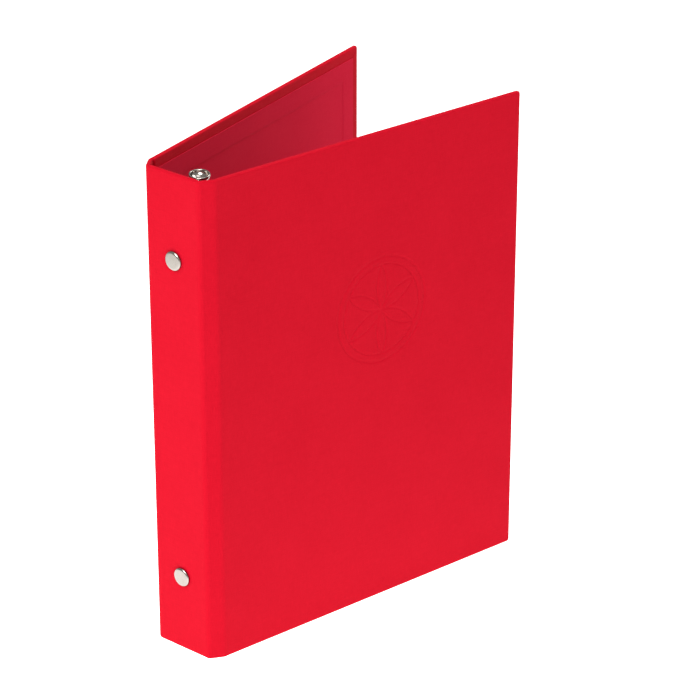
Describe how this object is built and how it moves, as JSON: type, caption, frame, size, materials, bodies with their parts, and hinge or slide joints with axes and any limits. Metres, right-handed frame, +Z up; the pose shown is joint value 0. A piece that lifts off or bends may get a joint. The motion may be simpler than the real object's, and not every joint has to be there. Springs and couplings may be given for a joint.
{
  "type": "ring binder",
  "caption": "Small cloth-covered ring binder with hinged covers, a riveted ring mechanism and opening levers, standing with its covers fanned open.",
  "frame": {"origin": "middle of the spine's bottom edge, at half its width and half its thickness", "axes": "+Z up along the spine, +Y from the spine into the binder towards the fore edges, +X towards the front cover"},
  "size_m": [0.0984, 0.1766, 0.2286],
  "materials": {
    "cover_cloth": "linen-weave book cloth",
    "lining": "matt embossed paper",
    "greyboard": "raw pressed board",
    "nickel": "bright nickel plate",
    "spring_steel": "plain zinc-bright sheet"
  },
  "bodies": {
    "spine": {"spine_board": "greyboard", "spine_cloth": "cover_cloth", "spine_lining": "lining", "ring_housing": "nickel", "top_rivet": "nickel", "bottom_rivet": "nickel", "top_post": "spring_steel", "bottom_post": "spring_steel"},
    "front_hinge": {"front_hinge_cloth": "cover_cloth", "front_hinge_lining": "lining"},
    "front_cover": {"front_board": "greyboard", "front_cloth": "cover_cloth", "front_lining": "lining"},
    "front_blade": {"front_blade": "spring_steel", "front_ring_top": "nickel", "front_ring_middle": "nickel", "front_ring_bottom": "nickel"},
    "back_hinge": {"back_hinge_cloth": "cover_cloth", "back_hinge_lining": "lining"},
    "back_cover": {"back_board": "greyboard", "back_cloth": "cover_cloth", "back_lining": "lining"},
    "back_blade": {"back_blade": "spring_steel", "back_ring_top": "nickel", "back_ring_middle": "nickel", "back_ring_bottom": "nickel"},
    "top_lever": {"top_lever": "nickel"},
    "bottom_lever": {"bottom_lever": "nickel"}
  },
  "joints": [
    {"name": "front_spine_crease", "type": "hinge", "parent": "spine", "child": "front_hinge", "pos_m": [0.0151, -0.0012, 0], "axis": [0, 0, -1], "range_deg": [-6.81, 115.81]},
    {"name": "front_cover_crease", "type": "hinge", "parent": "front_hinge", "child": "front_cover", "pos_m": [0.01946, 0.00491, 0], "axis": [0, 0, -1], "range_deg": [-3.21, 54.21]},
    {"name": "back_spine_crease", "type": "hinge", "parent": "spine", "child": "back_hinge", "pos_m": [-0.0151, -0.0012, 0], "axis": [0, 0, 1], "range_deg": [-6.81, 115.81]},
    {"name": "back_cover_crease", "type": "hinge", "parent": "back_hinge", "child": "back_cover", "pos_m": [-0.01946, 0.00491, 0], "axis": [0, 0, 1], "range_deg": [-3.21, 54.21]},
    {"name": "front_blade_pivot", "type": "hinge", "parent": "spine", "child": "front_blade", "pos_m": [0.0085, 0.0047, 0.1128], "axis": [0, 0, -1], "range_deg": [0, 13]},
    {"name": "back_blade_pivot", "type": "hinge", "parent": "spine", "child": "back_blade", "pos_m": [-0.0085, 0.0047, 0.1128], "axis": [0, 0, 1], "range_deg": [0, 13]},
    {"name": "top_lever_pivot", "type": "hinge", "parent": "spine", "child": "top_lever", "pos_m": [0, 0.0047, 0.2028], "axis": [1, 0, 0], "range_deg": [0, 18.01]},
    {"name": "bottom_lever_pivot", "type": "hinge", "parent": "spine", "child": "bottom_lever", "pos_m": [0, 0.0047, 0.0228], "axis": [-1, 0, 0], "range_deg": [0, 18.01]}
  ],
  "couplings": [
    {"joint": "front_cover_crease", "follows": "front_spine_crease", "ratio": 0.46789},
    {"joint": "back_cover_crease", "follows": "back_spine_crease", "ratio": 0.46789},
    {"joint": "back_blade_pivot", "follows": "front_blade_pivot", "ratio": 1},
    {"joint": "top_lever_pivot", "follows": "front_blade_pivot", "ratio": 1.3846},
    {"joint": "bottom_lever_pivot", "follows": "front_blade_pivot", "ratio": 1.3846}
  ]
}
